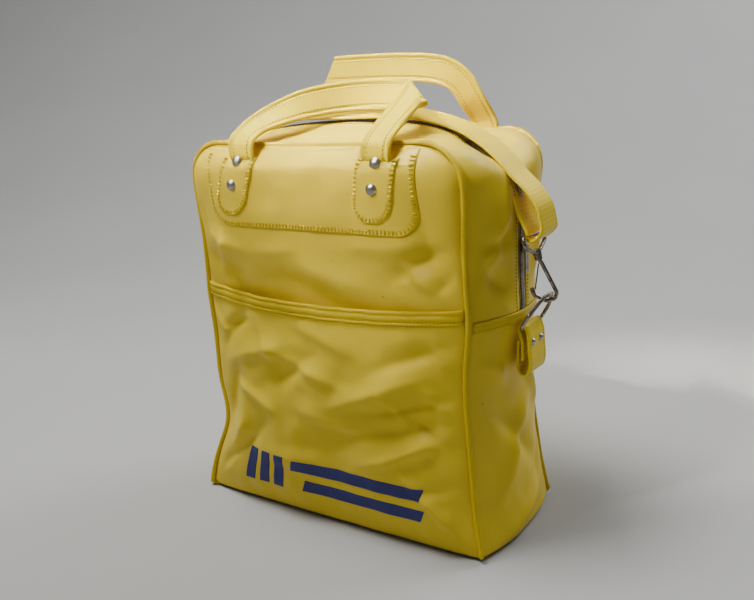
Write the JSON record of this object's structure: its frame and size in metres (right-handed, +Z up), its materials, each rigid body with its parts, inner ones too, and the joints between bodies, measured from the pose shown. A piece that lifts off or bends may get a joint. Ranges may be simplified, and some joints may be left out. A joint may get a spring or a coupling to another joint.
{
  "type": "soft flight bag",
  "caption": "Upright soft vinyl cabin bag with a front slip pocket, zipped top, paired carry handles and a clip-on shoulder strap.",
  "frame": {"origin": "middle of the flat base, on the floor", "axes": "+X to the right as the pocket side is faced, -Y out of the pocket side, +Z up"},
  "size_m": [0.377, 0.2012, 0.4201],
  "materials": {
    "body_vinyl": "soft satin yellow vinyl, fine grain",
    "trim_vinyl": "glossier yellow vinyl bead and binding",
    "strap_vinyl": "folded yellow vinyl strap, stitched",
    "hardware": "tarnished nickel plate",
    "rivet": "nickel dome",
    "zip_metal": "worn white metal",
    "zip_tape": "woven yellow tape"
  },
  "bodies": {
    "bag": {"back_handle_patches": "body_vinyl", "back_handle_rivets": "rivet", "back_panel": "body_vinyl", "back_piping": "trim_vinyl", "back_yoke": "body_vinyl", "bottom_panel": "body_vinyl", "front_handle_patches": "body_vinyl", "front_handle_rivets": "rivet", "front_panel": "body_vinyl", "front_piping": "trim_vinyl", "front_yoke": "body_vinyl", "pocket_binding": "trim_vinyl", "pocket_panel": "body_vinyl", "ring_tab_left": "strap_vinyl", "ring_tab_right": "strap_vinyl", "shoulder_strap": "strap_vinyl", "side_gusset_left": "body_vinyl", "side_gusset_right": "body_vinyl", "side_hem_left": "body_vinyl", "side_hem_right": "body_vinyl", "strap_eye_left": "hardware", "strap_eye_right": "hardware", "tab_rivets_left": "rivet", "tab_rivets_right": "rivet", "zip_gusset_back": "body_vinyl", "zip_gusset_front": "body_vinyl", "zip_tape_back": "zip_tape", "zip_tape_front": "zip_tape", "zip_teeth_back": "zip_metal", "zip_teeth_front": "zip_metal"},
    "zip_slider": {"zip_slider": "zip_metal"},
    "zip_pull": {"zip_pull": "zip_metal"},
    "front_handle": {"front_handle": "strap_vinyl"},
    "back_handle": {"back_handle": "strap_vinyl"},
    "d_ring_right": {"d_ring_right": "hardware"},
    "snap_hook_right": {"snap_hook_right": "hardware"},
    "hook_gate_right": {"hook_gate_right": "hardware"},
    "d_ring_left": {"d_ring_left": "hardware"},
    "snap_hook_left": {"snap_hook_left": "hardware"},
    "hook_gate_left": {"hook_gate_left": "hardware"}
  },
  "joints": [
    {"name": "zip_slide", "type": "slide", "parent": "bag", "child": "zip_slider", "axis": [0, 0, 1], "range_m": [-0.036, 0]},
    {"name": "zip_pull_hinge", "type": "hinge", "parent": "zip_slider", "child": "zip_pull", "pos_m": [0.1621, 0, 0.256], "axis": [0, 1, 0], "range_deg": [-12, 0]},
    {"name": "front_handle_swing", "type": "hinge", "parent": "bag", "child": "front_handle", "pos_m": [0, -0.08785, 0.3375], "axis": [1, 0, 0], "range_deg": [0, 140]},
    {"name": "back_handle_swing", "type": "hinge", "parent": "bag", "child": "back_handle", "pos_m": [0, 0.10539, 0.3375], "axis": [1, 0, 0], "range_deg": [-100, 0]},
    {"name": "d_ring_swing_right", "type": "hinge", "parent": "bag", "child": "d_ring_right", "pos_m": [0.1655, 0, 0.19], "axis": [0, 1, 0], "range_deg": [-12, 0.5]},
    {"name": "hook_swivel_right", "type": "hinge", "parent": "bag", "child": "snap_hook_right", "pos_m": [0.1725, -0.003, 0.252], "axis": [-0.2352, -0.083, 0.9684], "range_deg": [-12, 12]},
    {"name": "gate_hinge_right", "type": "hinge", "parent": "snap_hook_right", "child": "hook_gate_right", "pos_m": [0.17372, -0.00283, 0.24343], "axis": [0.5465, -0.8352, 0.0611], "range_deg": [0, 14], "stiffness_Nm_per_rad": 0.002, "springref_deg": -10},
    {"name": "d_ring_swing_left", "type": "hinge", "parent": "bag", "child": "d_ring_left", "pos_m": [-0.1655, 0, 0.19], "axis": [0, 1, 0], "range_deg": [-0.5, 12]},
    {"name": "hook_swivel_left", "type": "hinge", "parent": "bag", "child": "snap_hook_left", "pos_m": [-0.1725, -0.003, 0.252], "axis": [0.2352, -0.083, 0.9684], "range_deg": [-12, 12]},
    {"name": "gate_hinge_left", "type": "hinge", "parent": "snap_hook_left", "child": "hook_gate_left", "pos_m": [-0.17372, -0.00283, 0.24343], "axis": [0.5465, 0.8352, -0.0611], "range_deg": [0, 14], "stiffness_Nm_per_rad": 0.002, "springref_deg": -10}
  ]
}
